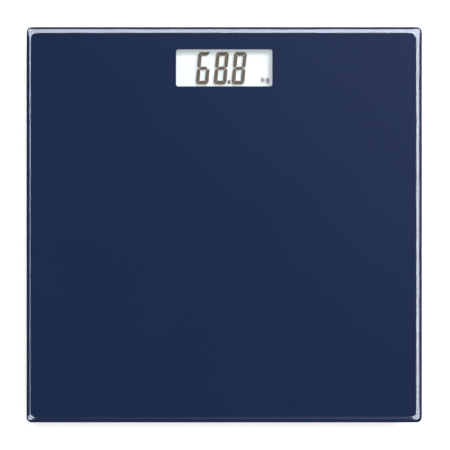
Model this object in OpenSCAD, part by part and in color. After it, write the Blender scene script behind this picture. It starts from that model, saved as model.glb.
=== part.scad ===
// Glass-top digital body scale: a square tempered-glass platform with a printed back,
// a segment display under a clear window, an electronics housing and four weighing feet.
// Units are millimetres. +Z is up, +Y runs towards the display, and the feet rest on Z = 0.

/* [Platform] */

// Width of the glass platform, left to right
platform_w = 300; // [260:5:360]
// Depth of the glass platform, heel side to display side
platform_d = 300; // [260:5:360]
// Height from the floor to the standing surface
scale_h = 23; // [22:0.5:28]
// Thickness of the tempered glass
glass_t = 5; // [4:0.5:6.5]
// Radius of the platform's corners in plan
glass_corner_r = 4; // [3:0.5:12]
// Width of the polished slope along the upper edge of the glass
glass_slope_w = 3.2; // [1:0.2:3.6]
// Drop of that slope at its outer end
glass_slope_h = 1.4; // [0.6:0.1:1.6]
// Width of the clear glass border left outside the printed layer
print_margin = 0.8; // [0.4:0.1:3]

/* [Display] */

// Width of the clear window in the printed layer
window_w = 73; // [60:1:88]
// Height of the clear window in the printed layer
window_h = 28; // [24:1:34]
// Radius of the window's corners
window_corner_r = 1.8; // [0.8:0.2:4]
// Distance from the platform's display-side edge to the middle of the window
window_inset = 31; // [30:1:36]
// Lean of the digits, in degrees
digit_lean = 5; // [0:1:10]
// Stroke width of a digit segment
digit_stroke = 2.75; // [2:0.05:3.2]

/* [Feet] */

// Distance from the platform's side edges to the middle of each foot
foot_inset = 30; // [30:1:40]
// Outside length of the square load cell
cell_side = 34; // [28:1:40]
// Thickness of the load cell plate
cell_t = 1.8; // [1.2:0.1:2.4]
// Travel of a foot at full load
foot_travel = 0.4; // [0.2:0.05:0.6]
// Radius of the rubber pad under each foot
pad_r = 16; // [12:0.5:18]

/* [Power and button] */

// Diameter of the coin cell
coin_d = 20; // [16:1:24]
// Thickness of the coin cell
coin_t = 3.2; // [2:0.1:3.6]
// Radius of the unit button
button_r = 5; // [3:0.5:7]
// Travel of the unit button
button_travel = 0.6; // [0.3:0.1:0.8]

/* [Hidden] */

$fn = 64;
gap = 0.3; // between pieces that move past each other
run_gap = 0.05; // running clearance of a shaft in its hole

// Levels, from the standing surface down
glass_z = scale_h - glass_t;
print_t = 0.15;
print_z = glass_z - print_t;
tape_t = 0.5;
deck_z = print_z - tape_t; // the face that all plastic parts hang from

// Display-side housing
housing_w = window_w + 47;
housing_d = window_h + 36;
housing_y = platform_d / 2 - window_inset - 7;
housing_r = 6;
housing_wall = 2;
housing_top_t = 1.5;
housing_roof_z = deck_z - housing_top_t; // underside of the housing's top plate
display_y = platform_d / 2 - window_inset;
housing_front_y = housing_y - housing_d / 2;

// Display module, stacked under the housing's top plate
lcd_w = window_w + 6;
lcd_d = window_h + 8;
lcd_rear_d = window_h + 2;
lcd_glass_t = 1.1;
lcd_layer_t = 0.1;
lcd_film_t = 0.15;
lcd_front_z = housing_roof_z - lcd_glass_t;
lcd_layer_z = lcd_front_z - lcd_layer_t;
lcd_rear_z = lcd_layer_z - lcd_glass_t;
lcd_film_z = lcd_rear_z - lcd_film_t;
lcd_frame_wall = 1.35;
zebra_w = 2;

// Circuit board
board_t = 1.6;
board_top_z = housing_roof_z - 3.05;
board_z = board_top_z - board_t;
board_w = housing_w - 16;
board_d = housing_d - 8;
board_notch = 2.1;
board_notch_d = 5.1;
board_screw_x = lcd_w / 2 + lcd_frame_wall + 5.2;
board_screw_y = [display_y - 22, display_y + 15];
board_screw_r = 1;
board_boss_r = 3;

// Cover, closing the housing from below
coin_z = board_z - 0.8 - coin_t;
door_gap_z = 0.3;
plate_t = 1.8;
door_t = 1.6;
cover_z = coin_z - door_gap_z - door_t - 0.3;
cover_plate_z = cover_z + plate_t;
cover_wall = 1.6;
cover_bevel = 0.9;
split_z = cover_plate_z + 2.2; // where the cover meets the housing
cover_screw_x = housing_w / 2 - 5.8;
cover_screw_y = [housing_front_y + 4.8, housing_front_y + housing_d - 4.8];
cover_boss_r = 3.3;
cover_screw_r = 1.2;
head_r = 2.4;
head_t = 1.4;
head_sink = 1.6;

// Battery bay and its door
bay_x = -(window_w / 2 - 8.5);
bay_y = housing_front_y + coin_d / 2 + 9;
coin_r = coin_d / 2;
pocket_r = coin_r + 0.3;
bay_top_z = board_z - 1;
door_w = coin_d + 5;
hinge_y = bay_y - coin_r - 3.1;
hinge_z = cover_z + door_t;
knuckle_r = 1.55;
hinge_pin_r = 0.9;
hinge_pin_l = 1.8;
door_l = coin_d + 7.5;
door_end_y = hinge_y + door_l;
bay_wall = 2.8;

// Button and the switch it presses
button_x = window_w / 2 - 4.5;
button_y = bay_y;
button_low_z = cover_z + gap;
flange_z = cover_plate_z + gap;
flange_t = 0.8;
flange_r = button_r + 1.2;
plunger_r = 1.5;
plunger_z = flange_z + flange_t + 0.3;
switch_z = flange_z + flange_t + button_travel + 0.4;
switch_side = 6;

// Feet
foot_x = platform_w / 2 - foot_inset;
foot_y = platform_d / 2 - foot_inset;
cell_corner_r = 4;
cell_half_diag = (cell_side / 2 - cell_corner_r) * sqrt(2) + cell_corner_r;
cavity_r = cell_half_diag + 0.6;
foot_wall = 3;
foot_r = cavity_r + foot_wall;
foot_roof_t = 1.6;
foot_roof_z = deck_z - foot_roof_t;
cell_top_z = deck_z - 3.65;
cell_z = cell_top_z - cell_t;
stake_head_t = 0.7;
flange_top_z = cell_z - stake_head_t - foot_travel - 0.7;
cap_flange_t = 1.4;
cap_flange_z = flange_top_z - cap_flange_t;
ring_t = 1.4;
ring_z = cap_flange_z - gap - ring_t;
ring_r = cavity_r + 1;
cap_flange_r = cavity_r - 1;
cap_r = cap_flange_r - 2.6;
ring_hole_r = cap_r + 1;
pad_grip_z = 2; // underside of the foot cap
pad_t = pad_grip_z + 0.6;
stub_r = 4;

// Load cell: a square plate with a tongue left free on three sides
tongue_w = 12;
slot_w = 2.2;
tongue_tip_y = -cell_side / 4;
tongue_root_y = cell_side / 4 + 0.5;
stake_r = 1.2;
stake_x = cell_side / 2 - 4.5;
stake_y = cell_side / 2 - 6;
coat_r = 4;
coat_h = 1.2;

// Sensor wires and the channels they lie in
wire_r = 0.45;
wire_pitch = 1.1;
wire_bend_r = 1;
channel_floor_t = 0.8;
channel_wall = 1;
channel_w = 6;
wire_z = deck_z - 2.38;
channel_z = wire_z - wire_r - 0.02 - channel_floor_t;
run_bend_r = 14;
run_y = housing_front_y + 11.5;
wire_drop_y = cell_side / 2 - 3.5;
wire_land_x = board_w / 2 - 2;

// ---------- shared shapes ----------

// Rectangle with round corners
module round_rect(w, d, r) {
  square([w - 2 * r, d], center = true);
  square([w, d - 2 * r], center = true);
  for (x = [-1, 1], y = [-1, 1])
    translate([x * (w / 2 - r), y * (d / 2 - r)])
      circle(r);
}

// Slab with round corners in plan. The edge is a list of [inset, height] points from the
// bottom to the top, followed by the straight sides and round the corners.
module edged_slab(w, d, r, edge) {
  last = len(edge) - 1;
  profile = function(half) concat(
    [for (p = edge) [half - p[0], p[1]]],
    [for (i = [last:-1:0]) [edge[i][0] - half, edge[i][1]]]
  );
  rotate([90, 0, 0])
    linear_extrude(d - 2 * r, center = true)
      polygon(profile(w / 2));
  rotate([90, 0, 90])
    linear_extrude(w - 2 * r, center = true)
      polygon(profile(d / 2));
  for (x = [-1, 1], y = [-1, 1])
    translate([x * (w / 2 - r), y * (d / 2 - r), 0])
      rotate_extrude()
        polygon(concat([[0, 0]], [for (p = edge) [r - p[0], p[1]]], [[0, edge[last][1]]]));
}

// Puts its children at all four feet: heel feet as drawn, display feet turned to the housing
module at_foot(side, end) {
  turn = end < 0 ? 0 : (side > 0 ? 90 : -90);
  translate([side * foot_x, end * foot_y, 0])
    rotate([0, 0, turn])
      children();
}

module at_all_feet() {
  for (side = [-1, 1], end = [-1, 1])
    at_foot(side, end)
      children();
}

// Screw with a domed head and a cross recess, its head underside at Z = 0, pointing up
module screw(shank_r, shank_l, cap_r, cap_t) {
  difference() {
    union() {
      cylinder(r = shank_r, h = shank_l);
      translate([0, 0, -cap_t])
        rotate_extrude()
          polygon([[0, 0], [cap_r * 0.7, 0], [cap_r, cap_t * 0.45], [cap_r, cap_t], [0, cap_t]]);
    }
    for (a = [0, 90])
      rotate([0, 0, a])
        translate([-cap_r * 0.55, -0.25, -cap_t - 1])
          cube([cap_r * 1.1, 0.5, 1 + cap_t * 0.6]);
  }
}

// ---------- platform ----------

module glass_platform() {
  arris = 0.5;
  color([0.62, 0.78, 0.76, 0.35])
    translate([0, 0, glass_z])
      edged_slab(platform_w, platform_d, glass_corner_r, [
        [arris, 0], [0, arris], [0, glass_t - glass_slope_h - 0.9],
        [0.35, glass_t - glass_slope_h], [glass_slope_w * 0.45, glass_t - glass_slope_h * 0.45],
        [glass_slope_w, glass_t]
      ]);
}

module printed_layer() {
  color([0.03, 0.06, 0.14])
    translate([0, 0, print_z])
      linear_extrude(print_t)
        difference() {
          round_rect(platform_w - 2 * print_margin, platform_d - 2 * print_margin,
            max(glass_corner_r - print_margin, 0.5));
          translate([0, display_y])
            round_rect(window_w, window_h, window_corner_r);
        }
}

module foot_tapes() {
  color([0.9, 0.9, 0.88])
    at_all_feet()
      translate([0, 0, deck_z])
        linear_extrude(tape_t)
          difference() {
            circle(foot_r - 0.5);
            circle(foot_r - 9);
          }
}

module housing_tape() {
  color([0.9, 0.9, 0.88])
    translate([0, 0, deck_z])
      linear_extrude(tape_t)
        difference() {
          translate([0, housing_y])
            round_rect(housing_w - 1, housing_d - 1, housing_r - 0.5);
          translate([0, display_y])
            round_rect(window_w + 5, window_h + 5, 2);
        }
}

// ---------- electronics housing ----------

module wire_slots() {
  for (side = [-1, 1], y = [run_y, foot_y])
    translate([side * (housing_w / 2 - housing_wall / 2), y, wire_z])
      cube([housing_wall + 1, 4, 1.2], center = true);
}

module display_housing() {
  color([0.2, 0.21, 0.23])
    difference() {
      union() {
        translate([0, housing_y, housing_roof_z])
          linear_extrude(housing_top_t)
            difference() {
              round_rect(housing_w, housing_d, housing_r);
              translate([0, display_y - housing_y])
                round_rect(window_w + 3, window_h + 3, 1.5);
            }
        translate([0, housing_y, split_z])
          linear_extrude(housing_roof_z - split_z)
            difference() {
              round_rect(housing_w, housing_d, housing_r);
              round_rect(housing_w - 2 * housing_wall, housing_d - 2 * housing_wall,
                housing_r - housing_wall);
            }
        for (x = [-cover_screw_x, cover_screw_x], y = cover_screw_y)
          translate([x, y, split_z])
            cylinder(r = cover_boss_r, h = housing_roof_z - split_z);
        for (x = [-board_screw_x, board_screw_x], y = board_screw_y)
          translate([x, y, board_top_z])
            cylinder(r = board_boss_r, h = housing_roof_z - board_top_z);
      }
      for (x = [-cover_screw_x, cover_screw_x], y = cover_screw_y)
        translate([x, y, split_z - 1])
          cylinder(r = cover_screw_r + run_gap, h = 6);
      for (x = [-board_screw_x, board_screw_x], y = board_screw_y)
        translate([x, y, board_top_z - 1])
          cylinder(r = board_screw_r + run_gap, h = 3.7);
      wire_slots();
    }
}

// The block that holds the coin cell, with its hinge sockets
module bay_block() {
  translate([bay_x - door_w / 2 - bay_wall, hinge_y - knuckle_r - 1.8, cover_z + 0.4])
    cube([door_w + 2 * bay_wall, door_l + knuckle_r + 3.6, bay_top_z - cover_z - 0.4]);
}

module bay_cuts() {
  recess_front_y = hinge_y - knuckle_r - 0.4;
  translate([bay_x - door_w / 2 - gap, recess_front_y, cover_z - 1])
    cube([door_w + 2 * gap, door_end_y + gap - recess_front_y, door_t + 1 + door_gap_z]);
  translate([bay_x, bay_y, cover_z - 1])
    cylinder(r = pocket_r, h = bay_top_z - cover_z + 2);
  // room for the knuckle to turn
  translate([bay_x, hinge_y, hinge_z])
    rotate([0, 90, 0])
      cylinder(r = knuckle_r + 0.35, h = door_w + 2 * gap, center = true);
  // hinge sockets
  translate([bay_x, hinge_y, hinge_z])
    rotate([0, 90, 0])
      cylinder(r = hinge_pin_r + run_gap, h = door_w + 2 * hinge_pin_l + 0.4, center = true);
  // room for the latch leg
  translate([bay_x - 5, door_end_y - 2.2, cover_z])
    cube([10, 2.2 + gap, 4.2]);
  // room for the positive contact
  translate([bay_x + coin_r - 0.4, bay_y - 3.5, cover_z + door_t + 1.2])
    cube([1.6, 7, bay_top_z]);
}

module housing_cover() {
  color([0.2, 0.21, 0.23])
    difference() {
      union() {
        difference() {
          translate([0, housing_y, cover_z])
            edged_slab(housing_w, housing_d, housing_r, [
              [cover_bevel, 0], [0, cover_bevel], [0, split_z - cover_z]
            ]);
          translate([0, housing_y, cover_plate_z])
            linear_extrude(10)
              round_rect(housing_w - 2 * cover_wall, housing_d - 2 * cover_wall,
                housing_r - cover_wall);
        }
        for (x = [-cover_screw_x, cover_screw_x], y = cover_screw_y)
          translate([x, y, cover_z + 0.5])
            cylinder(r = cover_boss_r, h = split_z - cover_z - 0.5);
        bay_block();
        translate([button_x, button_y, cover_z + 0.5])
          cylinder(r = flange_r + 2.2, h = plate_t + 0.9);
      }
      for (x = [-cover_screw_x, cover_screw_x], y = cover_screw_y)
        translate([x, y, cover_z - 1]) {
          cylinder(r = head_r + 0.3, h = 1 + head_sink);
          cylinder(r = cover_screw_r + 0.3, h = 10);
        }
      bay_cuts();
      translate([button_x, button_y, cover_z - 1])
        cylinder(r = button_r + run_gap, h = 10);
      translate([button_x, button_y, cover_plate_z])
        cylinder(r = flange_r + 0.4, h = 10);
      // shallow finger recess at the free end of the door
      translate([bay_x, door_end_y + gap, cover_z - 0.01])
        cylinder(r = 5.5, h = 0.9);
    }
}

module battery_door() {
  color([0.16, 0.17, 0.19])
    difference() {
      union() {
        translate([bay_x - door_w / 2, hinge_y, cover_z])
          cube([door_w, door_l, door_t]);
        translate([bay_x, hinge_y, hinge_z])
          rotate([0, 90, 0]) {
            cylinder(r = knuckle_r, h = door_w, center = true);
            cylinder(r = hinge_pin_r, h = door_w + 2 * hinge_pin_l, center = true);
          }
        // latch leg at the free end
        translate([bay_x - 4, door_end_y - 1.4, cover_z + door_t - 0.2])
          cube([8, 0.9, 2.2]);
      }
      // grip lines
      for (i = [0:3])
        translate([bay_x - 6, door_end_y - 3 - 1.6 * i, cover_z - 0.5])
          cube([12, 0.7, 0.8]);
      // shallow coin-shaped mark
      translate([bay_x, hinge_y + door_l * 0.42, cover_z - 0.5])
        difference() {
          cylinder(r = coin_r * 0.62, h = 0.8);
          translate([0, 0, -1])
            cylinder(r = coin_r * 0.54, h = 3);
        }
    }
}

module unit_button() {
  color([0.35, 0.37, 0.4])
    translate([button_x, button_y, 0])
      difference() {
        union() {
          translate([0, 0, button_low_z])
            cylinder(r = button_r, h = flange_z - button_low_z);
          translate([0, 0, flange_z])
            cylinder(r = flange_r, h = flange_t);
          translate([0, 0, flange_z])
            cylinder(r = 2.4, h = plunger_z - flange_z);
        }
        translate([0, 0, button_low_z - 0.5])
          difference() {
            cylinder(r = button_r * 0.66, h = 0.8);
            translate([0, 0, -1])
              cylinder(r = button_r * 0.5, h = 3);
          }
      }
}

module switch_plunger() {
  color([0.15, 0.15, 0.16])
    translate([button_x, button_y, plunger_z])
      cylinder(r = plunger_r, h = 1.4);
}

module tact_switch() {
  color([0.22, 0.22, 0.24])
    difference() {
      translate([button_x - switch_side / 2, button_y - switch_side / 2, switch_z])
        cube([switch_side, switch_side, board_z - switch_z]);
      translate([button_x, button_y, switch_z - 1])
        cylinder(r = plunger_r + run_gap, h = plunger_z + 1.4 + button_travel + 0.2 - switch_z + 1);
    }
}

// ---------- circuit board ----------

module circuit_board() {
  color([0.05, 0.3, 0.16])
    translate([0, 0, board_z])
      linear_extrude(board_t)
        difference() {
          translate([0, housing_y])
            square([board_w, board_d], center = true);
          for (x = [-1, 1], y = [-1, 1])
            translate([x * board_w / 2, housing_y + y * board_d / 2])
              square([2 * board_notch, 2 * board_notch_d], center = true);
          for (x = [-board_screw_x, board_screw_x], y = board_screw_y)
            translate([x, y])
              circle(board_screw_r + 0.3);
        }
}

module chip_blob() {
  blob_r = 6;
  blob_h = 1.5;
  ball_r = (blob_r * blob_r + blob_h * blob_h) / (2 * blob_h);
  color([0.04, 0.04, 0.045])
    translate([2, housing_y + 10, board_z])
      difference() {
        translate([0, 0, ball_r - blob_h])
          sphere(ball_r);
        translate([0, 0, ball_r])
          cube([4 * ball_r, 4 * ball_r, 2 * ball_r], center = true);
      }
}

module small_components() {
  color([0.55, 0.5, 0.42]) {
    for (i = [0:4])
      translate([12 + 5 * i, housing_y + 4, board_z - 0.6])
        cube([2, 1.2, 0.6]);
    for (i = [0:3])
      translate([-14, housing_y + 2 + 4 * i, board_z - 0.6])
        cube([1.2, 2, 0.6]);
    translate([14, housing_y + 14, board_z - 1.2])
      cube([5, 4, 1.2]);
    translate([-24, housing_y + 14, board_z - 2])
      cylinder(r = 2.6, h = 2);
  }
}

module solder_joints() {
  color([0.75, 0.76, 0.78])
    for (side = [-1, 1], y = [run_y, foot_y], i = [-1, 0, 1])
      translate([side * wire_land_x, y + i * wire_pitch, board_z - 0.5])
        cylinder(r1 = 0.25, r2 = 0.5, h = 0.5, $fn = 8);
}

module board_screws() {
  color([0.62, 0.63, 0.65])
    for (x = [-board_screw_x, board_screw_x], y = board_screw_y)
      translate([x, y, board_z])
        screw(board_screw_r, board_t + 2.5, 2.1, 0.8);
}

module cover_screws() {
  color([0.62, 0.63, 0.65])
    for (x = [-cover_screw_x, cover_screw_x], y = cover_screw_y)
      translate([x, y, cover_z + head_sink])
        screw(cover_screw_r, split_z - cover_z - head_sink + 4.5, head_r, head_t);
}

// ---------- display ----------

module lcd_frame() {
  color([0.12, 0.12, 0.13])
    translate([0, display_y, board_top_z])
      linear_extrude(housing_roof_z - board_top_z)
        difference() {
          square([lcd_w + 0.2 + 2 * lcd_frame_wall, lcd_d + 0.2 + 2 * lcd_frame_wall], center = true);
          square([lcd_w + 0.2, lcd_d + 0.2], center = true);
        }
}

module lcd_front_glass() {
  color([0.85, 0.9, 0.88, 0.3])
    translate([-lcd_w / 2, display_y - lcd_d / 2, lcd_front_z])
      cube([lcd_w, lcd_d, lcd_glass_t]);
}

module lcd_seal() {
  color([0.7, 0.72, 0.7])
    translate([0, display_y, lcd_layer_z])
      linear_extrude(lcd_layer_t)
        difference() {
          square([lcd_w, lcd_rear_d], center = true);
          square([lcd_w - 2, lcd_rear_d - 1], center = true);
        }
}

module lcd_rear_glass() {
  color([0.85, 0.9, 0.88, 0.3])
    translate([-lcd_w / 2, display_y - lcd_rear_d / 2, lcd_rear_z])
      cube([lcd_w, lcd_rear_d, lcd_glass_t]);
}

module lcd_reflector() {
  color([0.93, 0.95, 0.96])
    translate([-lcd_w / 2, display_y - lcd_rear_d / 2, lcd_film_z])
      cube([lcd_w, lcd_rear_d, lcd_film_t]);
}

module zebra_strips() {
  color([0.5, 0.48, 0.5])
    for (y = [-1, 1])
      translate([-lcd_w / 2 + 4, display_y + y * (lcd_d / 2 - zebra_w / 2 - 0.4) - zebra_w / 2, board_top_z])
        cube([lcd_w - 8, zebra_w, lcd_front_z - board_top_z]);
}

digit_h = window_h * 0.872;
digit_w = digit_h * 0.395;
digit_pitch = digit_h * 0.558;
digit_x = -window_w * 0.283;
digit_y = -digit_h / 2 - 0.1;
segment_gap = 0.15;
digit_chamfer = digit_stroke * 0.42;

// One bar of a digit, lying along X from the origin, with pointed ends
module bar(l) {
  h = digit_stroke * 0.46;
  polygon([
    [segment_gap, 0], [segment_gap + h, h], [l - segment_gap - h, h],
    [l - segment_gap, 0], [l - segment_gap - h, -h], [segment_gap + h, -h]
  ]);
}

// An outer bar of a digit: full stroke, mitred towards the middle of the digit
module edge_bar(l) {
  s = digit_stroke;
  g = segment_gap;
  c = digit_chamfer;
  polygon([
    [g + c, s], [l - g - c, s], [l - g - c / 2, s - c / 2],
    [l - g - s, 0], [g + s, 0], [g + c / 2, s - c / 2]
  ]);
}

// A side bar from the middle of the digit to its top, on the left
module side_bar() {
  s = digit_stroke;
  g = segment_gap;
  c = digit_chamfer;
  top = digit_h / 2;
  polygon([
    [c / 2, top - g - c / 2], [0, top - g - c * 1.5], [0, g + s * 0.5],
    [s * 0.45, g], [s, g + s * 0.6], [s, top - g - s]
  ]);
}

// Segments a to g, listed by name: top, upper right, lower right, bottom, lower left, upper left,
// middle
module digit(lit) {
  w = digit_w;
  h = digit_h;
  s = digit_stroke;
  if (lit[0])
    translate([0, h - s])
      edge_bar(w);
  if (lit[1])
    translate([w, h / 2])
      mirror([1, 0])
        side_bar();
  if (lit[2])
    translate([w, h / 2])
      mirror([1, 0])
        mirror([0, 1])
          side_bar();
  if (lit[3])
    translate([0, s])
      mirror([0, 1])
        edge_bar(w);
  if (lit[4])
    translate([0, h / 2])
      mirror([0, 1])
        side_bar();
  if (lit[5])
    translate([0, h / 2])
      side_bar();
  if (lit[6])
    translate([s / 2, h / 2])
      bar(w - s);
}

// Unit mark: small "kg" built from bars
module unit_mark() {
  t = 0.7;
  x_h = 2.7;
  square([t, 3.7]);
  for (m = [0, 1])
    translate([t * 0.8, x_h / 2])
      mirror([0, m])
        polygon([[0, -0.1], [1.05, x_h / 2], [2, x_h / 2], [0.85, -0.1]]);
  translate([3.15, 0]) {
    difference() {
      translate([x_h / 2, x_h / 2])
        circle(x_h / 2);
      translate([x_h / 2, x_h / 2])
        circle(x_h / 2 - t);
    }
    translate([x_h - t, -1.2])
      square([t, x_h + 1.2]);
    translate([0.4, -1.2])
      square([x_h - 0.5, 0.6]);
  }
}

module lcd_segments() {
  on = [true, true, true, true, true, true, true];
  six = [true, false, true, true, true, true, true];
  reading = [six, on, on];
  color([0.4, 0.36, 0.33])
    translate([0, display_y, lcd_layer_z])
      linear_extrude(lcd_layer_t) {
        multmatrix([[1, tan(digit_lean), 0, 0], [0, 1, 0, 0], [0, 0, 1, 0], [0, 0, 0, 1]])
          translate([digit_x, digit_y])
            for (i = [0:2])
              translate([i * digit_pitch, 0])
                digit(reading[i]);
        translate([digit_x + 2 * digit_pitch - digit_stroke * 1.4, digit_y + 0.3])
          square([digit_stroke * 0.6, digit_stroke]);
        translate([window_w * 0.388, -window_h * 0.371])
          unit_mark();
      }
}

// ---------- battery ----------

module coin_cell() {
  color([0.78, 0.79, 0.8])
    translate([bay_x, bay_y, coin_z])
      rotate_extrude()
        polygon([
          [0, 0], [coin_r - 0.3, 0], [coin_r, 0.3], [coin_r, coin_t - 0.6],
          [coin_r - 1.1, coin_t - 0.6], [coin_r - 1.3, coin_t], [0, coin_t]
        ]);
}

module contact_negative() {
  drop = board_z - coin_z - coin_t;
  color([0.72, 0.68, 0.55])
    translate([bay_x, bay_y + 3, board_z])
      rotate([90, 0, 0])
        linear_extrude(6)
          polygon([
            [-coin_r - 2, 0], [-coin_r - 2, -0.3], [-coin_r + 2, -0.3], [-2, -drop],
            [2, -drop], [2, -drop + 0.3], [-2, -drop + 0.3], [-coin_r + 2, 0]
          ]);
}

module contact_positive() {
  color([0.72, 0.68, 0.55])
    translate([bay_x + coin_r, bay_y - 3, 0]) {
      translate([0, 0, coin_z + 0.9])
        cube([0.3, 6, board_z - coin_z - 0.9]);
      translate([0, 0, board_z - 0.3])
        cube([4, 6, 0.3]);
    }
}

module rating_label() {
  color([0.8, 0.81, 0.82])
    translate([bay_x + door_w / 2 + 24, housing_y + housing_d / 4, cover_z - 0.1])
      linear_extrude(0.1)
        round_rect(46, 18, 2);
}

// ---------- feet ----------

module foot_housing() {
  low_z = ring_z;
  step_z = ring_z + ring_t;
  color([0.2, 0.21, 0.23])
    difference() {
      union() {
        rotate_extrude()
          polygon([
            [0, deck_z], [foot_r, deck_z], [foot_r, low_z + 0.8], [foot_r - 0.8, low_z],
            [ring_r, low_z], [ring_r, step_z], [cavity_r, step_z], [cavity_r, foot_roof_z],
            [0, foot_roof_z]
          ]);
        for (x = [-stake_x, stake_x], y = [-stake_y, stake_y])
          translate([x, y, 0]) {
            translate([0, 0, cell_top_z])
              cylinder(r = 2.9, h = foot_roof_z - cell_top_z + 0.5);
            translate([0, 0, cell_z - 0.2])
              cylinder(r = stake_r, h = cell_t + 1);
            translate([0, 0, cell_z - stake_head_t])
              cylinder(r1 = 1.5, r2 = 2.1, h = stake_head_t);
          }
      }
      translate([-2, 0, wire_z - 0.6])
        cube([4, foot_r + 1, 1.2]);
    }
}

module load_cell() {
  color([0.7, 0.71, 0.73])
    translate([0, 0, cell_z])
      linear_extrude(cell_t)
        difference() {
          round_rect(cell_side, cell_side, cell_corner_r);
          for (x = [-1, 1])
            translate([x * (tongue_w + slot_w) / 2, 0]) {
              translate([-slot_w / 2, tongue_tip_y - slot_w])
                square([slot_w, tongue_root_y - tongue_tip_y + slot_w]);
              translate([0, tongue_root_y])
                circle(slot_w / 2);
            }
          translate([-tongue_w / 2 - 0.5, tongue_tip_y - slot_w])
            square([tongue_w + 1, slot_w]);
          for (x = [-stake_x, stake_x], y = [-stake_y, stake_y])
            translate([x, y])
              circle(stake_r + run_gap);
        }
}

module gauge_coats() {
  ball_r = (coat_r * coat_r + coat_h * coat_h) / (2 * coat_h);
  color([0.93, 0.93, 0.9])
    at_all_feet()
      translate([0, cell_side / 8 + 1, cell_top_z])
        difference() {
          translate([0, 0, coat_h - ball_r])
            sphere(ball_r);
          translate([0, 0, -ball_r])
            cube([4 * ball_r, 4 * ball_r, 2 * ball_r], center = true);
        }
}

module retainer_rings() {
  color([0.3, 0.31, 0.33])
    at_all_feet()
      translate([0, 0, ring_z])
        rotate_extrude()
          polygon([
            [ring_hole_r + 0.5, 0], [ring_r - run_gap, 0], [ring_r - run_gap, ring_t],
            [ring_hole_r, ring_t], [ring_hole_r, 0.5]
          ]);
}

module foot_cap() {
  color([0.3, 0.31, 0.33])
    difference() {
      union() {
        rotate_extrude()
          polygon([
            [0, pad_grip_z], [cap_r - 1, pad_grip_z], [cap_r, pad_grip_z + 1],
            [cap_r, cap_flange_z], [cap_flange_r, cap_flange_z], [cap_flange_r, flange_top_z],
            [cap_r - 2, flange_top_z], [cap_r - 2, pad_t + 1.6], [0, pad_t + 1.6]
          ]);
        cylinder_z = pad_t + 1;
        translate([0, 0, cylinder_z])
          cylinder(r = stub_r, h = cell_z - cylinder_z);
        for (a = [45, 135])
          rotate([0, 0, a])
            translate([-cap_r + 1, -0.75, cylinder_z])
              cube([2 * cap_r - 2, 1.5, flange_top_z - cylinder_z - 0.4]);
      }
      translate([0, 0, pad_grip_z - 1])
        cylinder(r = pad_r + run_gap, h = pad_t - pad_grip_z + 1);
    }
}

module foot_pad() {
  color([0.1, 0.1, 0.1])
    difference() {
      rotate_extrude()
        polygon([
          [0, 0], [pad_r - 0.8, 0], [pad_r, 0.8], [pad_r, pad_t], [0, pad_t]
        ]);
      for (r = [5, 9, 13])
        translate([0, 0, -1])
          difference() {
            cylinder(r = r * pad_r / 16 + 0.6, h = 1.5);
            translate([0, 0, -1])
              cylinder(r = r * pad_r / 16 - 0.6, h = 4);
          }
    }
}

// ---------- wires and channels ----------

// Cross-section of a channel, X across it, Y up from its floor
module channel_profile() {
  h = deck_z - channel_z;
  w = channel_w / 2;
  polygon([
    [-w, 0], [w, 0], [w, h], [w - channel_wall, h], [w - channel_wall, channel_floor_t],
    [-w + channel_wall, channel_floor_t], [-w + channel_wall, h], [-w, h]
  ]);
}

heel_run_start_y = -foot_y + foot_r + 0.2;
heel_bend_x = foot_x - run_bend_r;
heel_bend_y = run_y - run_bend_r;
housing_side_x = housing_w / 2 + 0.1;
display_run_start_x = foot_x - foot_r - 0.2;

module heel_channel() {
  color([0.24, 0.25, 0.27])
    translate([0, 0, channel_z]) {
      translate([foot_x, heel_bend_y, 0])
        rotate([90, 0, 0])
          linear_extrude(heel_bend_y - heel_run_start_y)
            channel_profile();
      translate([heel_bend_x, heel_bend_y, 0])
        rotate_extrude(angle = 90)
          translate([run_bend_r, 0])
            channel_profile();
      translate([housing_side_x, run_y, 0])
        rotate([90, 0, 90])
          linear_extrude(heel_bend_x - housing_side_x)
            channel_profile();
    }
}

module display_channel() {
  color([0.24, 0.25, 0.27])
    translate([housing_side_x, foot_y, channel_z])
      rotate([90, 0, 90])
        linear_extrude(display_run_start_x - housing_side_x)
          channel_profile();
}

module channel_tapes() {
  tape_w = channel_w - 1;
  color([0.9, 0.9, 0.88])
    for (m = [0, 1])
      mirror([m, 0, 0])
        translate([0, 0, deck_z]) {
          linear_extrude(tape_t)
            translate([foot_x - tape_w / 2, heel_run_start_y])
              square([tape_w, heel_bend_y - heel_run_start_y]);
          linear_extrude(tape_t)
            translate([housing_side_x, run_y - tape_w / 2])
              square([heel_bend_x - housing_side_x, tape_w]);
          linear_extrude(tape_t)
            translate([housing_side_x, foot_y - tape_w / 2])
              square([display_run_start_x - housing_side_x, tape_w]);
        }
}

// Short wire end that turns from horizontal (arriving along +X) down to level low_z
module wire_end(low_z) {
  translate([0, 0, -wire_bend_r])
    rotate([90, 0, 0])
      rotate_extrude(angle = 90)
        translate([wire_bend_r, 0])
          circle(wire_r);
  translate([wire_bend_r, 0, low_z - wire_z])
    cylinder(r = wire_r, h = wire_z - wire_bend_r - low_z);
}

// Straight wire along +X
module wire_run(l) {
  rotate([0, 90, 0])
    cylinder(r = wire_r, h = l);
}

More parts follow.
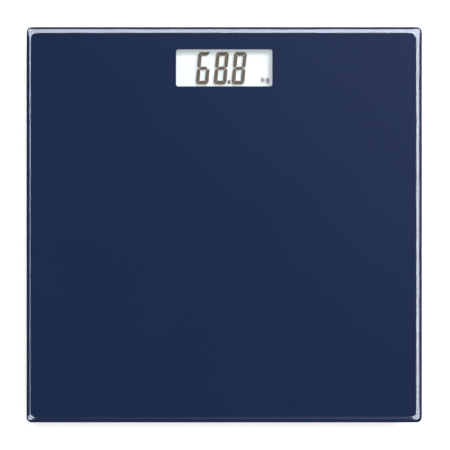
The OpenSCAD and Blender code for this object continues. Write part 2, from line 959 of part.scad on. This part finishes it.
module heel_wires() {
  start_y = -foot_y + wire_drop_y;
  color([0.75, 0.12, 0.1])
    for (i = [-1, 0, 1])
      translate([0, 0, wire_z]) {
        offset_x = i * wire_pitch;
        bend_r = run_bend_r + offset_x;
        translate([foot_x + offset_x, start_y + wire_bend_r, 0])
          rotate([0, 0, -90])
            wire_end(cell_top_z);
        translate([foot_x + offset_x, start_y + wire_bend_r, 0])
          rotate([0, 0, 90])
            wire_run(heel_bend_y - start_y - wire_bend_r);
        translate([heel_bend_x, heel_bend_y, 0])
          rotate_extrude(angle = 90)
            translate([bend_r, 0])
              circle(wire_r);
        translate([wire_land_x + wire_bend_r, run_y + offset_x, 0])
          wire_run(heel_bend_x - wire_land_x - wire_bend_r);
        translate([wire_land_x + wire_bend_r, run_y + offset_x, 0])
          rotate([0, 0, 180])
            wire_end(board_top_z);
      }
}

module display_wires() {
  start_x = foot_x - wire_drop_y;
  color([0.75, 0.12, 0.1])
    for (i = [-1, 0, 1])
      translate([0, foot_y + i * wire_pitch, wire_z]) {
        translate([start_x - wire_bend_r, 0, 0])
          wire_end(cell_top_z);
        translate([wire_land_x + wire_bend_r, 0, 0])
          wire_run(start_x - wire_land_x - 2 * wire_bend_r);
        translate([wire_land_x + wire_bend_r, 0, 0])
          rotate([0, 0, 180])
            wire_end(board_top_z);
      }
}

// ---------- the nodes ----------

glass_platform();
printed_layer();
foot_tapes();
housing_tape();
channel_tapes();
display_housing();
housing_cover();
battery_door();
unit_button();
switch_plunger();
tact_switch();
circuit_board();
chip_blob();
small_components();
solder_joints();
board_screws();
cover_screws();
lcd_frame();
lcd_front_glass();
lcd_segments();
lcd_seal();
lcd_rear_glass();
lcd_reflector();
zebra_strips();
coin_cell();
contact_negative();
contact_positive();
rating_label();
gauge_coats();
retainer_rings();
at_foot(-1, 1) foot_housing();  // foot_housing_display_left
at_foot(1, 1) foot_housing();  // foot_housing_display_right
at_foot(-1, -1) foot_housing();  // foot_housing_heel_left
at_foot(1, -1) foot_housing();  // foot_housing_heel_right
at_foot(-1, 1) load_cell();  // load_cell_display_left
at_foot(1, 1) load_cell();  // load_cell_display_right
at_foot(-1, -1) load_cell();  // load_cell_heel_left
at_foot(1, -1) load_cell();  // load_cell_heel_right
at_foot(-1, 1) foot_cap();  // foot_cap_display_left
at_foot(1, 1) foot_cap();  // foot_cap_display_right
at_foot(-1, -1) foot_cap();  // foot_cap_heel_left
at_foot(1, -1) foot_cap();  // foot_cap_heel_right
at_foot(-1, 1) foot_pad();  // foot_pad_display_left
at_foot(1, 1) foot_pad();  // foot_pad_display_right
at_foot(-1, -1) foot_pad();  // foot_pad_heel_left
at_foot(1, -1) foot_pad();  // foot_pad_heel_right
mirror([1, 0, 0]) display_channel();  // wire_channel_display_left
display_channel();  // wire_channel_display_right
mirror([1, 0, 0]) heel_channel();  // wire_channel_heel_left
heel_channel();  // wire_channel_heel_right
mirror([1, 0, 0]) display_wires();  // sensor_wires_display_left
display_wires();  // sensor_wires_display_right
mirror([1, 0, 0]) heel_wires();  // sensor_wires_heel_left
heel_wires();  // sensor_wires_heel_right
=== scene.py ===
import math

import bpy
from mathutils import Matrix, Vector


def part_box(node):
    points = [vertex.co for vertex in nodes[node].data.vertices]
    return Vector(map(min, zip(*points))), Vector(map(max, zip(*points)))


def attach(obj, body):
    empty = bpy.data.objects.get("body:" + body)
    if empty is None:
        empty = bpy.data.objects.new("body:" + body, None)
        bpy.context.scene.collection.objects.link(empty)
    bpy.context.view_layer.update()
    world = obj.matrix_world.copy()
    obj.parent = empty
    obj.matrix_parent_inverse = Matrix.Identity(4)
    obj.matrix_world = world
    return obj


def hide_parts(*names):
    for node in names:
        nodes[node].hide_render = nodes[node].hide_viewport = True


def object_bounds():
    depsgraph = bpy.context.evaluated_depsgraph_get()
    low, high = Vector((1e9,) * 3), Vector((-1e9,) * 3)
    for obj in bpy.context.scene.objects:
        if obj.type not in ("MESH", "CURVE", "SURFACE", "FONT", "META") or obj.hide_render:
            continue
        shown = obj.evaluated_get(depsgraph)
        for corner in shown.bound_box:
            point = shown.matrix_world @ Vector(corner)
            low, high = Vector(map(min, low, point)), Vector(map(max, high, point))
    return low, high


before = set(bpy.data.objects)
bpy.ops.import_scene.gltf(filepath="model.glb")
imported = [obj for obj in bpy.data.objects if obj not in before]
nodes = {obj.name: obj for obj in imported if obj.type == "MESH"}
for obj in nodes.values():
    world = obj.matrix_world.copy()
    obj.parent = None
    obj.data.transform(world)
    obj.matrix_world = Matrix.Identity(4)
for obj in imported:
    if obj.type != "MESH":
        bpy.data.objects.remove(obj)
cad_low, cad_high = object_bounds()
MM = 0.001
CORNERS = ("display_left", "display_right", "heel_left", "heel_right")


# ---------- node helpers ----------

def new_material(name):
    mat = bpy.data.materials.new(name)
    mat.use_nodes = True
    tree = mat.node_tree
    tree.nodes.clear()
    out = tree.nodes.new("ShaderNodeOutputMaterial")
    shader = tree.nodes.new("ShaderNodeBsdfPrincipled")
    tree.links.new(shader.outputs["BSDF"], out.inputs["Surface"])
    return mat, tree, shader


def add(tree, kind, inputs=(), **settings):
    """A node of this kind. Each entry of inputs is (socket, value or output socket)."""
    node = tree.nodes.new(kind)
    for name, value in settings.items():
        setattr(node, name, value)
    for socket, value in inputs:
        if isinstance(value, bpy.types.NodeSocket):
            tree.links.new(value, node.inputs[socket])
        else:
            node.inputs[socket].default_value = value
    return node


def math_node(tree, operation, a, b=0.0, c=0.0, clamp=False):
    node = add(tree, "ShaderNodeMath", [(0, a), (1, b), (2, c)], operation=operation)
    node.use_clamp = clamp
    return node.outputs[0]


def object_coords(tree, stretch=(1, 1, 1)):
    coords = add(tree, "ShaderNodeTexCoord").outputs["Object"]
    if stretch == (1, 1, 1):
        return coords
    return add(tree, "ShaderNodeMapping", [("Vector", coords), ("Scale", stretch)]).outputs["Vector"]


def noise(tree, grain, detail=3.0, stretch=(1, 1, 1)):
    """Noise whose features are about grain metres across."""
    node = add(tree, "ShaderNodeTexNoise",
               [("Vector", object_coords(tree, stretch)), ("Scale", 1 / grain), ("Detail", detail)])
    return node.outputs["Fac"]


def spread(tree, value, low, high):
    """Turns a value around one half into one from low to high."""
    node = add(tree, "ShaderNodeMapRange",
               [("Value", value), ("From Min", 0.3), ("From Max", 0.7), ("To Min", low), ("To Max", high)])
    return node.outputs["Result"]


def shade(colour, factor):
    return tuple(min(1.0, c * factor) for c in colour[:3]) + (1.0,)


def vary(tree, shader, colour, value, amount):
    """Base colour that moves a little either side of colour."""
    ramp = add(tree, "ShaderNodeValToRGB", [("Fac", value)])
    ramp.color_ramp.elements[0].position = 0.3
    ramp.color_ramp.elements[1].position = 0.7
    ramp.color_ramp.elements[0].color = shade(colour, 1 - amount)
    ramp.color_ramp.elements[1].color = shade(colour, 1 + amount)
    tree.links.new(ramp.outputs["Color"], shader.inputs["Base Color"])


def relief(tree, shader, value, depth, edge=0.0):
    """Bump of this depth in metres, over edges rounded by edge metres."""
    inputs = [("Height", value), ("Distance", depth), ("Strength", 1.0)]
    if edge:
        bevel = add(tree, "ShaderNodeBevel", [("Radius", edge)], samples=4)
        inputs.append(("Normal", bevel.outputs["Normal"]))
    bump = add(tree, "ShaderNodeBump", inputs)
    tree.links.new(bump.outputs["Normal"], shader.inputs["Normal"])


def moulded(name, colour, rough=0.42, grain=0.5 * MM, depth=0.012 * MM, edge=0.25 * MM):
    """Injection-moulded plastic with a fine eroded texture and a little flow variation."""
    mat, tree, shader = new_material(name)
    fine = noise(tree, grain, 2.0)
    broad = noise(tree, 14 * MM, 3.0)
    vary(tree, shader, colour, broad, 0.12)
    tree.links.new(spread(tree, fine, rough - 0.07, rough + 0.09), shader.inputs["Roughness"])
    relief(tree, shader, fine, depth, edge)
    return mat


def rubber(name, colour):
    mat, tree, shader = new_material(name)
    fine = noise(tree, 0.35 * MM, 4.0)
    dust = noise(tree, 4 * MM, 5.0)
    vary(tree, shader, colour, dust, 0.25)
    tree.links.new(spread(tree, dust, 0.62, 0.86), shader.inputs["Roughness"])
    relief(tree, shader, fine, 0.02 * MM, 0.2 * MM)
    return mat


def foam(name, colour):
    mat, tree, shader = new_material(name)
    cells = add(tree, "ShaderNodeTexVoronoi",
                [("Vector", object_coords(tree)), ("Scale", 1 / (0.35 * MM))])
    vary(tree, shader, colour, cells.outputs["Distance"], 0.14)
    shader.inputs["Roughness"].default_value = 0.9
    relief(tree, shader, cells.outputs["Distance"], 0.05 * MM)
    return mat


def metal(name, colour, rough=0.28, stretch=(1, 1, 1), grain=0.25 * MM, tarnish=0.1):
    """Metal with fine rolling or tumbling marks, drawn out along the axis that stretch shrinks."""
    mat, tree, shader = new_material(name)
    marks = noise(tree, grain, 4.0, stretch)
    stain = noise(tree, 5 * MM, 4.0)
    vary(tree, shader, colour, stain, tarnish)
    shader.inputs["Metallic"].default_value = 1.0
    tree.links.new(spread(tree, marks, rough - 0.08, rough + 0.1), shader.inputs["Roughness"])
    relief(tree, shader, marks, 0.004 * MM, 0.12 * MM)
    return mat


def skin(name, colour, rough, grain, depth, amount=0.1, edge=0.0, gloss=0.5, glow=0.0):
    """Any other solid colour: film, resin, wire insulation, ink, and with glow a painted glow, emission on a part that
    is no lamp.
    """
    mat, tree, shader = new_material(name)
    shader.inputs["Specular IOR Level"].default_value = gloss
    # glow paints light: emission on a surface that is no lamp
    if glow:
        shader.inputs["Emission Color"].default_value = (0.975, 0.98, 1.0, 1)
        shader.inputs["Emission Strength"].default_value = glow
    fine = noise(tree, grain, 3.0)
    vary(tree, shader, colour, fine, amount)
    tree.links.new(spread(tree, fine, max(0.02, rough - 0.06), rough + 0.06), shader.inputs["Roughness"])
    relief(tree, shader, fine, depth, edge)
    return mat


def dress(node_name, mat):
    data = nodes[node_name].data
    data.materials.clear()
    data.materials.append(mat)
    for polygon in data.polygons:
        polygon.material_index = 0


# ---------- materials ----------

def platform_glass():
    """Tempered glass. The face is fire polished; the slope round it is ground and polished, so it is a little softer."""
    mat, tree, shader = new_material("tempered_glass")
    shader.inputs["Base Color"].default_value = (0.965, 0.99, 0.985, 1)
    shader.inputs["Transmission Weight"].default_value = 1.0
    shader.inputs["IOR"].default_value = 1.52
    up = add(tree, "ShaderNodeSeparateXYZ",
             [(0, add(tree, "ShaderNodeTexCoord").outputs["Normal"])]).outputs["Z"]
    ground = add(tree, "ShaderNodeMapRange",
                 [("Value", up), ("From Min", 0.9995), ("From Max", 0.99), ("To Min", 0.0), ("To Max", 1.0)])
    marks = noise(tree, 0.3 * MM, 3.0, (1, 1, 4))
    polish = math_node(tree, "MULTIPLY_ADD", marks, 0.012, 0.012)
    rough = math_node(tree, "MULTIPLY_ADD", ground.outputs["Result"], polish, 0.006)
    tree.links.new(rough, shader.inputs["Roughness"])
    return mat


def printed_navy():
    """Screen-printed enamel on the back of the glass, seen through it: dense, even, with a faint mesh grain."""
    mat, tree, shader = new_material("navy_enamel")
    grain = noise(tree, 0.5 * MM, 2.0)
    cloud = noise(tree, 70 * MM, 2.0)
    mixed = math_node(tree, "MULTIPLY_ADD", grain, 0.35, math_node(tree, "MULTIPLY", cloud, 0.65))
    vary(tree, shader, NAVY, mixed, 0.05)
    shader.inputs["Roughness"].default_value = 0.55
    shader.inputs["Specular IOR Level"].default_value = 0.0
    relief(tree, shader, grain, 0.002 * MM)
    return mat


def thin_glass(name, tint):
    mat, tree, shader = new_material(name)
    shader.inputs["Base Color"].default_value = tint
    shader.inputs["Transmission Weight"].default_value = 1.0
    shader.inputs["IOR"].default_value = 1.5
    marks = noise(tree, 2 * MM, 2.0)
    tree.links.new(math_node(tree, "MULTIPLY", marks, 0.02), shader.inputs["Roughness"])
    return mat


def circuit_green():
    """Solder mask over copper: the tracks show as slightly lighter runs."""
    mat, tree, shader = new_material("solder_mask")
    tracks = add(tree, "ShaderNodeTexBrick",
                 [("Vector", object_coords(tree)), ("Scale", 260.0), ("Mortar Size", 0.03),
                  ("Color1", (0.010, 0.085, 0.035, 1)), ("Color2", (0.012, 0.10, 0.042, 1)),
                  ("Mortar", (0.03, 0.19, 0.085, 1))])
    tree.links.new(tracks.outputs["Color"], shader.inputs["Base Color"])
    fine = noise(tree, 0.6 * MM)
    tree.links.new(spread(tree, fine, 0.25, 0.4), shader.inputs["Roughness"])
    relief(tree, shader, tracks.outputs["Fac"], 0.03 * MM, 0.15 * MM)
    return mat


NAVY = (0.0170, 0.0345, 0.0985)
INK = (0.235, 0.178, 0.137)

glass_mat = platform_glass()
navy_mat = printed_navy()
lcd_glass_mat = thin_glass("display_glass", (0.97, 0.99, 0.985, 1))
housing_mat = moulded("housing_plastic", (0.050, 0.053, 0.060))
foot_mat = moulded("foot_housing_plastic", (0.050, 0.053, 0.060), 0.45)
ring_mat = moulded("ring_plastic", (0.11, 0.115, 0.125), 0.40)
channel_mat = moulded("channel_plastic", (0.075, 0.078, 0.085), 0.48)
grey_mat = moulded("grey_plastic", (0.16, 0.165, 0.175), 0.40)
black_mat = moulded("black_plastic", (0.018, 0.018, 0.020), 0.38, 0.3 * MM)
pad_mat = rubber("pad_rubber", (0.028, 0.029, 0.031))
zebra_mat = rubber("zebra_rubber", (0.10, 0.085, 0.10))
foam_mat = foam("foam_tape", (0.70, 0.70, 0.68))
board_mat = circuit_green()
epoxy_mat = skin("epoxy", (0.012, 0.012, 0.013), 0.22, 1.2 * MM, 0.05 * MM)
part_mat = skin("component_ceramic", (0.32, 0.22, 0.13), 0.5, 0.4 * MM, 0.01 * MM, 0.18, 0.08 * MM)
solder_mat = metal("solder", (0.72, 0.72, 0.74), 0.3, grain=0.4 * MM)
screw_mat = metal("screw_steel", (0.62, 0.62, 0.63), 0.3)
cell_mat = metal("cell_steel", (0.74, 0.74, 0.75), 0.26, (1, 12, 1))
contact_mat = metal("contact_metal", (0.78, 0.70, 0.52), 0.24, (1, 10, 1))
spring_steel_mat = metal("load_cell_steel", (0.66, 0.66, 0.67), 0.34, (1, 14, 1))
silicone_mat = skin("silicone", (0.78, 0.78, 0.76), 0.45, 1.5 * MM, 0.12 * MM, 0.06)
label_mat = skin("label_film", (0.55, 0.56, 0.58), 0.35, 0.8 * MM, 0.004 * MM, 0.05)
ink_mat = skin("segment_ink", INK, 0.5, 0.5 * MM, 0.001 * MM, 0.10, gloss=0.0)
seal_mat = skin("display_seal", (0.30, 0.31, 0.30), 0.6, 0.5 * MM, 0.01 * MM)
# The display reflector gets a painted glow: emission that stands in for light on a reflector film that is no lamp.
reflector_painted_glow_mat = skin("display_reflector_painted_glow", (0.91, 0.915, 0.93), 0.7, 0.12 * MM, 0.002 * MM, 0.015, glow=0.44)

dress("printed_layer", navy_mat)
for name in ("foot_tapes", "housing_tape", "channel_tapes"):
    dress(name, foam_mat)
for name in ("display_housing", "housing_cover", "battery_door"):
    dress(name, housing_mat)
for name in ("lcd_frame", "tact_switch"):
    dress(name, black_mat)
dress("unit_button", grey_mat)
dress("switch_plunger", grey_mat)
dress("circuit_board", board_mat)
dress("chip_blob", epoxy_mat)
dress("small_components", part_mat)
dress("solder_joints", solder_mat)
dress("board_screws", screw_mat)
dress("cover_screws", screw_mat)
dress("lcd_segments", ink_mat)
dress("lcd_seal", seal_mat)
dress("lcd_reflector", reflector_painted_glow_mat)
dress("zebra_strips", zebra_mat)
dress("coin_cell", cell_mat)
dress("contact_negative", contact_mat)
dress("contact_positive", contact_mat)
dress("rating_label", label_mat)
dress("gauge_coats", silicone_mat)
dress("retainer_rings", ring_mat)
for corner in CORNERS:
    dress("foot_housing_" + corner, foot_mat)
    dress("load_cell_" + corner, spring_steel_mat)
    dress("foot_cap_" + corner, grey_mat)
    dress("foot_pad_" + corner, pad_mat)
    dress("wire_channel_" + corner, channel_mat)
    dress("sensor_wires_" + corner, black_mat)


# ---------- glass platform ----------

def rounded_ring(half_w, half_d, radius, z, steps=14, side_steps=10):
    """Points round a rectangle with round corners, anticlockwise, with the straight sides divided as well."""
    points = []
    for quarter, (sx, sy) in enumerate(((1, 1), (-1, 1), (-1, -1), (1, -1))):
        cx, cy = sx * (half_w - radius), sy * (half_d - radius)
        for k in range(steps + 1):
            a = math.radians(90 * (quarter + k / steps))
            points.append(Vector((cx + radius * math.cos(a), cy + radius * math.sin(a), z)))
        nx, ny = ((-1, 1), (-1, -1), (1, -1), (1, 1))[quarter]
        a = math.radians(90 * (quarter + 1))
        end = Vector((nx * (half_w - radius) + radius * math.cos(a),
                      ny * (half_d - radius) + radius * math.sin(a), z))
        start = points[-1]
        points.extend(start.lerp(end, k / side_steps) for k in range(1, side_steps))
    return points


def stack_rings(name, rings, smooth=True):
    """A closed mesh through rings of the same length, each joined to the next."""
    count = len(rings[0])
    verts = [p for ring in rings for p in ring]
    faces = []
    for level in range(len(rings) - 1):
        a, b = level * count, (level + 1) * count
        faces.extend((a + k, a + (k + 1) % count, b + (k + 1) % count, b + k) for k in range(count))
    faces.append(tuple(range(count - 1, -1, -1)))
    faces.append(tuple(range((len(rings) - 1) * count, len(rings) * count)))
    mesh = bpy.data.meshes.new(name)
    mesh.from_pydata([tuple(v) for v in verts], [], faces)
    mesh.update()
    obj = bpy.data.objects.new(name, mesh)
    bpy.context.scene.collection.objects.link(obj)
    for polygon in mesh.polygons:
        polygon.use_smooth = smooth
    return obj


# Slope of the platform's upper edge, in degrees from level, against the distance in from the outline in mm.
# It is level inside the last point and upright at the outline.
EDGE_SLOPES = ((0.0, 90), (0.05, 75), (0.15, 55), (0.3, 43), (0.5, 37), (0.9, 33), (1.3, 30), (1.9, 24), (2.9, 16),
               (4.4, 8), (5.3, 4), (5.4, 0))
RING_INSETS = (5.4, 5.35, 5.3, 5.0, 4.7, 4.4, 4.0, 3.6, 3.2, 2.9, 2.6, 2.3, 2.0, 1.8, 1.6, 1.4, 1.2, 1.0, 0.8, 0.65,
               0.5, 0.4, 0.3, 0.22, 0.15, 0.1, 0.05, 0.02, 0.0)
OUTER_R, INNER_R = 4.0, 6.0  # corner radius in mm at the outline and where the face starts
STEEPEST = 80.0  # degrees, for the last sliver of the slope
LOWER_ARRIS = 0.45  # mm
PRINT_SINK = 0.03 * MM  # the glass reaches this far below the CAD's, so the print lies in it


def slope_at(inset):
    for (a, slope_a), (b, slope_b) in zip(EDGE_SLOPES, EDGE_SLOPES[1:]):
        if inset <= b:
            return slope_a + (slope_b - slope_a) * (inset - a) / (b - a)
    return 0.0


def build_platform():
    low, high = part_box("glass_platform")
    half_w, half_d = (high.x - low.x) / 2, (high.y - low.y) / 2
    top, bottom = high.z, low.z - PRINT_SINK
    face_inset = RING_INSETS[0]
    fall, drops = 0.0, []
    for a, b in zip(RING_INSETS, RING_INSETS[1:]):
        fall += (a - b) * math.tan(math.radians(min(STEEPEST, slope_at((a + b) / 2))))
        drops.append((b, fall))
    rings = []

    def ring(inset_mm, z):
        radius = OUTER_R + (INNER_R - OUTER_R) * min(1.0, inset_mm / face_inset)
        rings.append(rounded_ring(half_w - inset_mm * MM, half_d - inset_mm * MM, radius * MM, z))

    ring(2 * LOWER_ARRIS, bottom)
    ring(LOWER_ARRIS + 0.15, bottom)
    for k in range(5):
        a = math.radians(90 * k / 4)
        ring(LOWER_ARRIS * (1 - math.sin(a)), bottom + LOWER_ARRIS * MM * (1 - math.cos(a)))
    ring(0.0, top - (fall + 0.5) * MM)
    for inset_mm, drop in reversed(drops):
        ring(inset_mm, top - drop * MM)
    for extra in (0.0, 0.1, 0.6):
        ring(face_inset + extra, top)
    piece = stack_rings("platform_glass", rings)
    piece.data.materials.append(glass_mat)
    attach(piece, "platform")
    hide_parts("glass_platform")
    piece.visible_shadow = False


def chamfered_plate(name, half_w, half_d, low_z, high_z, edge, centre):
    """A thin plate whose arrises are ground off by edge."""
    rings = [rounded_ring(half_w - edge * a, half_d - edge * a, 0.3 * MM, z, 3, 2)
             for a, z in ((1, low_z), (0, low_z + edge), (0, high_z - edge), (1, high_z))]
    for ring in rings:
        for point in ring:
            point.x += centre.x
            point.y += centre.y
    return stack_rings(name, rings, smooth=False)


PANE_CLEAR, PANE_ARRIS = 0.02 * MM, 0.12 * MM


def build_display_glass(node_name, piece_name):
    """One pane of the display, a hair clear of the layers above and below it."""
    low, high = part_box(node_name)
    piece = chamfered_plate(piece_name, (high.x - low.x) / 2, (high.y - low.y) / 2,
                            low.z + PANE_CLEAR, high.z - PANE_CLEAR, PANE_ARRIS, (low + high) / 2)
    piece.data.materials.append(lcd_glass_mat)
    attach(piece, "platform")
    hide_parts(node_name)
    piece.visible_shadow = False


build_platform()
build_display_glass("lcd_front_glass", "display_front_glass")
build_display_glass("lcd_rear_glass", "display_rear_glass")


# ---------- wires ----------

def colour_by_solid(node_name, mats, key):
    """Gives each separate solid of a node its own material, in the order of key over its middle."""
    data = nodes[node_name].data
    parent = list(range(len(data.vertices)))
    spots = {}

    def root(i):
        while parent[i] != i:
            parent[i] = parent[parent[i]]
            i = parent[i]
        return i

    for v in data.vertices:
        spot = tuple(round(c * 1e6) for c in v.co)
        if spot in spots:
            parent[root(v.index)] = root(spots[spot])
        spots[spot] = v.index
    for p in data.polygons:
        first = root(p.vertices[0])
        for v in p.vertices[1:]:
            parent[root(v)] = first
    groups = {}
    for v in data.vertices:
        groups.setdefault(root(v.index), []).append(v.co)
    order = sorted(groups, key=lambda g: key(groups[g]))
    data.materials.clear()
    for mat in mats:
        data.materials.append(mat)
    for p in data.polygons:
        p.material_index = order.index(root(p.vertices[0])) % len(mats)


wire_mats = [
    skin("wire_red", (0.45, 0.018, 0.015), 0.4, 0.8 * MM, 0.004 * MM, 0.08),
    skin("wire_white", (0.70, 0.70, 0.67), 0.4, 0.8 * MM, 0.004 * MM, 0.06),
    skin("wire_black", (0.016, 0.016, 0.017), 0.4, 0.8 * MM, 0.004 * MM, 0.12),
]
for corner in CORNERS:
    colour_by_solid("sensor_wires_" + corner, wire_mats, lambda cos: sum(abs(c.x) for c in cos) / len(cos))


# ---------- studio ----------

FLOOR_REACH = 14.0  # metres each way
FLOOR_GLOW, FAR_GLOW = 0.6, 1.0
GLOW_FROM, GLOW_TO = 0.7, 3.0  # metres from the middle, between which the floor's glow rises


def floor_piece():
    """A pale floor that fades to white further out, so that it has no dark end in low views."""
    r = FLOOR_REACH
    mesh = bpy.data.meshes.new("floor")
    mesh.from_pydata([(-r, -r, 0), (r, -r, 0), (r, r, 0), (-r, r, 0)], [], [(0, 1, 2, 3)])
    floor = bpy.data.objects.new("floor", mesh)
    bpy.context.scene.collection.objects.link(floor)
    mat, tree, shader = new_material("pale_floor")
    vary(tree, shader, (0.84, 0.84, 0.84), noise(tree, 0.3, 2.0), 0.01)
    shader.inputs["Roughness"].default_value = 1.0
    shader.inputs["Specular IOR Level"].default_value = 0.0
    shader.inputs["Emission Color"].default_value = (1, 1, 1, 1)
    far = add(tree, "ShaderNodeVectorMath", [(0, object_coords(tree))], operation="LENGTH").outputs["Value"]
    glow = add(tree, "ShaderNodeMapRange",
               [("Value", far), ("From Min", GLOW_FROM), ("From Max", GLOW_TO),
                ("To Min", FLOOR_GLOW), ("To Max", FAR_GLOW)], interpolation_type="SMOOTHSTEP")
    tree.links.new(glow.outputs["Result"], shader.inputs["Emission Strength"])
    mesh.materials.append(mat)


def soft_light(name, place, size, power):
    """A square lamp aimed at the middle of the floor, not mirrored in anything."""
    data = bpy.data.lights.new(name, "AREA")
    data.shape = "SQUARE"
    data.size = size
    data.energy = power
    lamp = bpy.data.objects.new(name, data)
    lamp.location = place
    lamp.rotation_euler = (-Vector(place)).to_track_quat("-Z", "Y").to_euler()
    lamp.visible_glossy = False
    lamp.visible_transmission = False
    bpy.context.scene.collection.objects.link(lamp)


def curve_node(tree, value, low, high, points, top):
    """Straight lines through points (value, height up to top), for a value from low to high."""
    share = add(tree, "ShaderNodeMapRange", [("Value", value), ("From Min", low), ("From Max", high)])
    node = add(tree, "ShaderNodeFloatCurve", [("Value", share.outputs["Result"])])
    curve = node.mapping.curves[0]
    scaled = [((x - low) / (high - low), y / top) for x, y in points]
    while len(curve.points) < len(scaled):
        curve.points.new(0.5, 0.5)
    for point, (x, y) in zip(curve.points, scaled):
        point.location = (x, y)
        point.handle_type = "VECTOR"
    node.mapping.update()
    return math_node(tree, "MULTIPLY", node.outputs["Value"], top)


def step_up(tree, value, edge, soft):
    """0 below edge and 1 above it, with soft to each side of the change."""
    node = add(tree, "ShaderNodeMapRange",
               [("Value", value), ("From Min", math_node(tree, "SUBTRACT", edge, soft)),
                ("From Max", math_node(tree, "ADD", edge, soft))], interpolation_type="SMOOTHSTEP")
    return node.outputs["Result"]


# The wrap-round softbox that the sloping edge mirrors, by azimuth in degrees anticlockwise from +X:
# brightness, and where it starts and ends in degrees down from overhead.
BOX_LIGHT = ((-180, 4.5), (-174, 3.0), (-166, 1.5), (-158, 8.0), (-150, 10.0), (-128, 10.0), (-116, 1.0), (-100, 0.1),
             (-90, 0.5), (-80, 0.9), (-70, 2.0), (-62, 12.0), (-6, 12.5), (6, 13.5), (40, 17.0), (76, 17.0), (90, 13.0),
             (105, 12.0), (166, 12.5), (174, 9.0), (180, 4.5))
BOX_START = ((-180, 30), (-173, 30), (-155, 27), (-135, 22), (-118, 22.5), (-102, 21), (-90, 20), (-78, 19.5),
             (-61, 19), (-45, 18.5), (-29, 18.5), (-12, 19.5), (0, 20.2), (12, 19.5), (29, 17), (45, 15.5), (59, 16),
             (72, 18), (90, 19), (108, 18), (119, 18), (135, 19), (153, 23), (173, 30), (180, 30))
BOX_END = ((-180, 43), (-160, 56), (-135, 52), (-110, 42), (-90, 41), (-65, 40), (-50, 42), (-30, 46), (10, 47),
           (45, 53), (80, 51), (105, 52), (120, 57), (155, 57), (168, 46), (180, 42))
TOP_LIGHT, TOP_DOWN = 20.0, 90.0  # upper ends of the curves
START_SOFT, END_SOFT = 1.0, 2.5  # degrees
HORIZON = (76.0, 88.0)  # degrees down from overhead, where the pale horizon begins and is full
HORIZON_GLOW = 0.88
ZENITH_DARK, ZENITH_GLOW = 0.06, 0.26  # overhead, and what is added towards +X +Y
LEAN = (-0.02, 0.18)  # x + y of the direction, between which that is added
TINT = (0.93, 0.97, 1.10)


def studio_world():
    world = bpy.data.worlds.new("studio")
    bpy.context.scene.world = world
    world.use_nodes = True
    tree = world.node_tree
    tree.nodes.clear()
    direction = add(tree, "ShaderNodeSeparateXYZ", [(0, add(tree, "ShaderNodeTexCoord").outputs["Generated"])])
    x, y, z = (direction.outputs[k] for k in "XYZ")
    degrees = 180 / math.pi
    azimuth = math_node(tree, "MULTIPLY", math_node(tree, "ARCTAN2", y, x), degrees)
    down = math_node(tree, "MULTIPLY", math_node(tree, "ARCCOSINE", z), degrees)
    bright = curve_node(tree, azimuth, -180, 180, BOX_LIGHT, TOP_LIGHT)
    start = curve_node(tree, azimuth, -180, 180, BOX_START, TOP_DOWN)
    end = curve_node(tree, azimuth, -180, 180, BOX_END, TOP_DOWN)
    inside = math_node(tree, "MULTIPLY", step_up(tree, down, start, START_SOFT),
                       math_node(tree, "SUBTRACT", 1.0, step_up(tree, down, end, END_SOFT)))
    box = math_node(tree, "MULTIPLY", bright, inside)
    horizon = add(tree, "ShaderNodeMapRange",
                  [("Value", down), ("From Min", HORIZON[0]), ("From Max", HORIZON[1])],
                  interpolation_type="SMOOTHSTEP").outputs["Result"]
    lean = math_node(tree, "ADD", x, y)
    glow = add(tree, "ShaderNodeMapRange",
               [("Value", lean), ("From Min", LEAN[0]), ("From Max", LEAN[1])],
               interpolation_type="SMOOTHSTEP").outputs["Result"]
    above = math_node(tree, "MULTIPLY", math_node(tree, "MULTIPLY_ADD", glow, ZENITH_GLOW, ZENITH_DARK),
                      math_node(tree, "SUBTRACT", 1.0, horizon))
    total = math_node(tree, "ADD", math_node(tree, "MULTIPLY_ADD", horizon, HORIZON_GLOW, box), above)
    colour = add(tree, "ShaderNodeCombineXYZ",
                 [(k, math_node(tree, "MULTIPLY", total, share)) for k, share in enumerate(TINT)])
    background = add(tree, "ShaderNodeBackground", [("Color", colour.outputs[0])])
    out = add(tree, "ShaderNodeOutputWorld")
    tree.links.new(background.outputs[0], out.inputs["Surface"])
    world.cycles_visibility.diffuse = False


floor_piece()
studio_world()
soft_light("overhead", (0.0, 0.2, 1.7), 1.6, 25)
soft_light("key", (0.9, 1.1, 1.1), 0.8, 32)
soft_light("fill", (-1.5, -1.5, 0.9), 1.2, 2)
bpy.context.scene.view_settings.view_transform = "Standard"
bpy.context.scene.cycles.caustics_reflective = False
bpy.context.scene.cycles.caustics_refractive = False


# ---------- camera ----------

CAMERA_HEIGHT = 2.0  # metres above the platform
VIEW_WIDTH = 0.3408  # metres of the platform's plane that the picture spans
CAMERA_X, CAMERA_Y = 0.6 * MM, -0.2 * MM


def camera():
    data = bpy.data.cameras.new("camera")
    data.sensor_width = 36.0
    data.lens = data.sensor_width * CAMERA_HEIGHT / VIEW_WIDTH
    data.clip_start = 0.05
    data.clip_end = 60.0
    cam = bpy.data.objects.new("camera", data)
    cam.location = (CAMERA_X, CAMERA_Y, cad_high.z + CAMERA_HEIGHT)
    bpy.context.scene.collection.objects.link(cam)
    bpy.context.scene.camera = cam


camera()
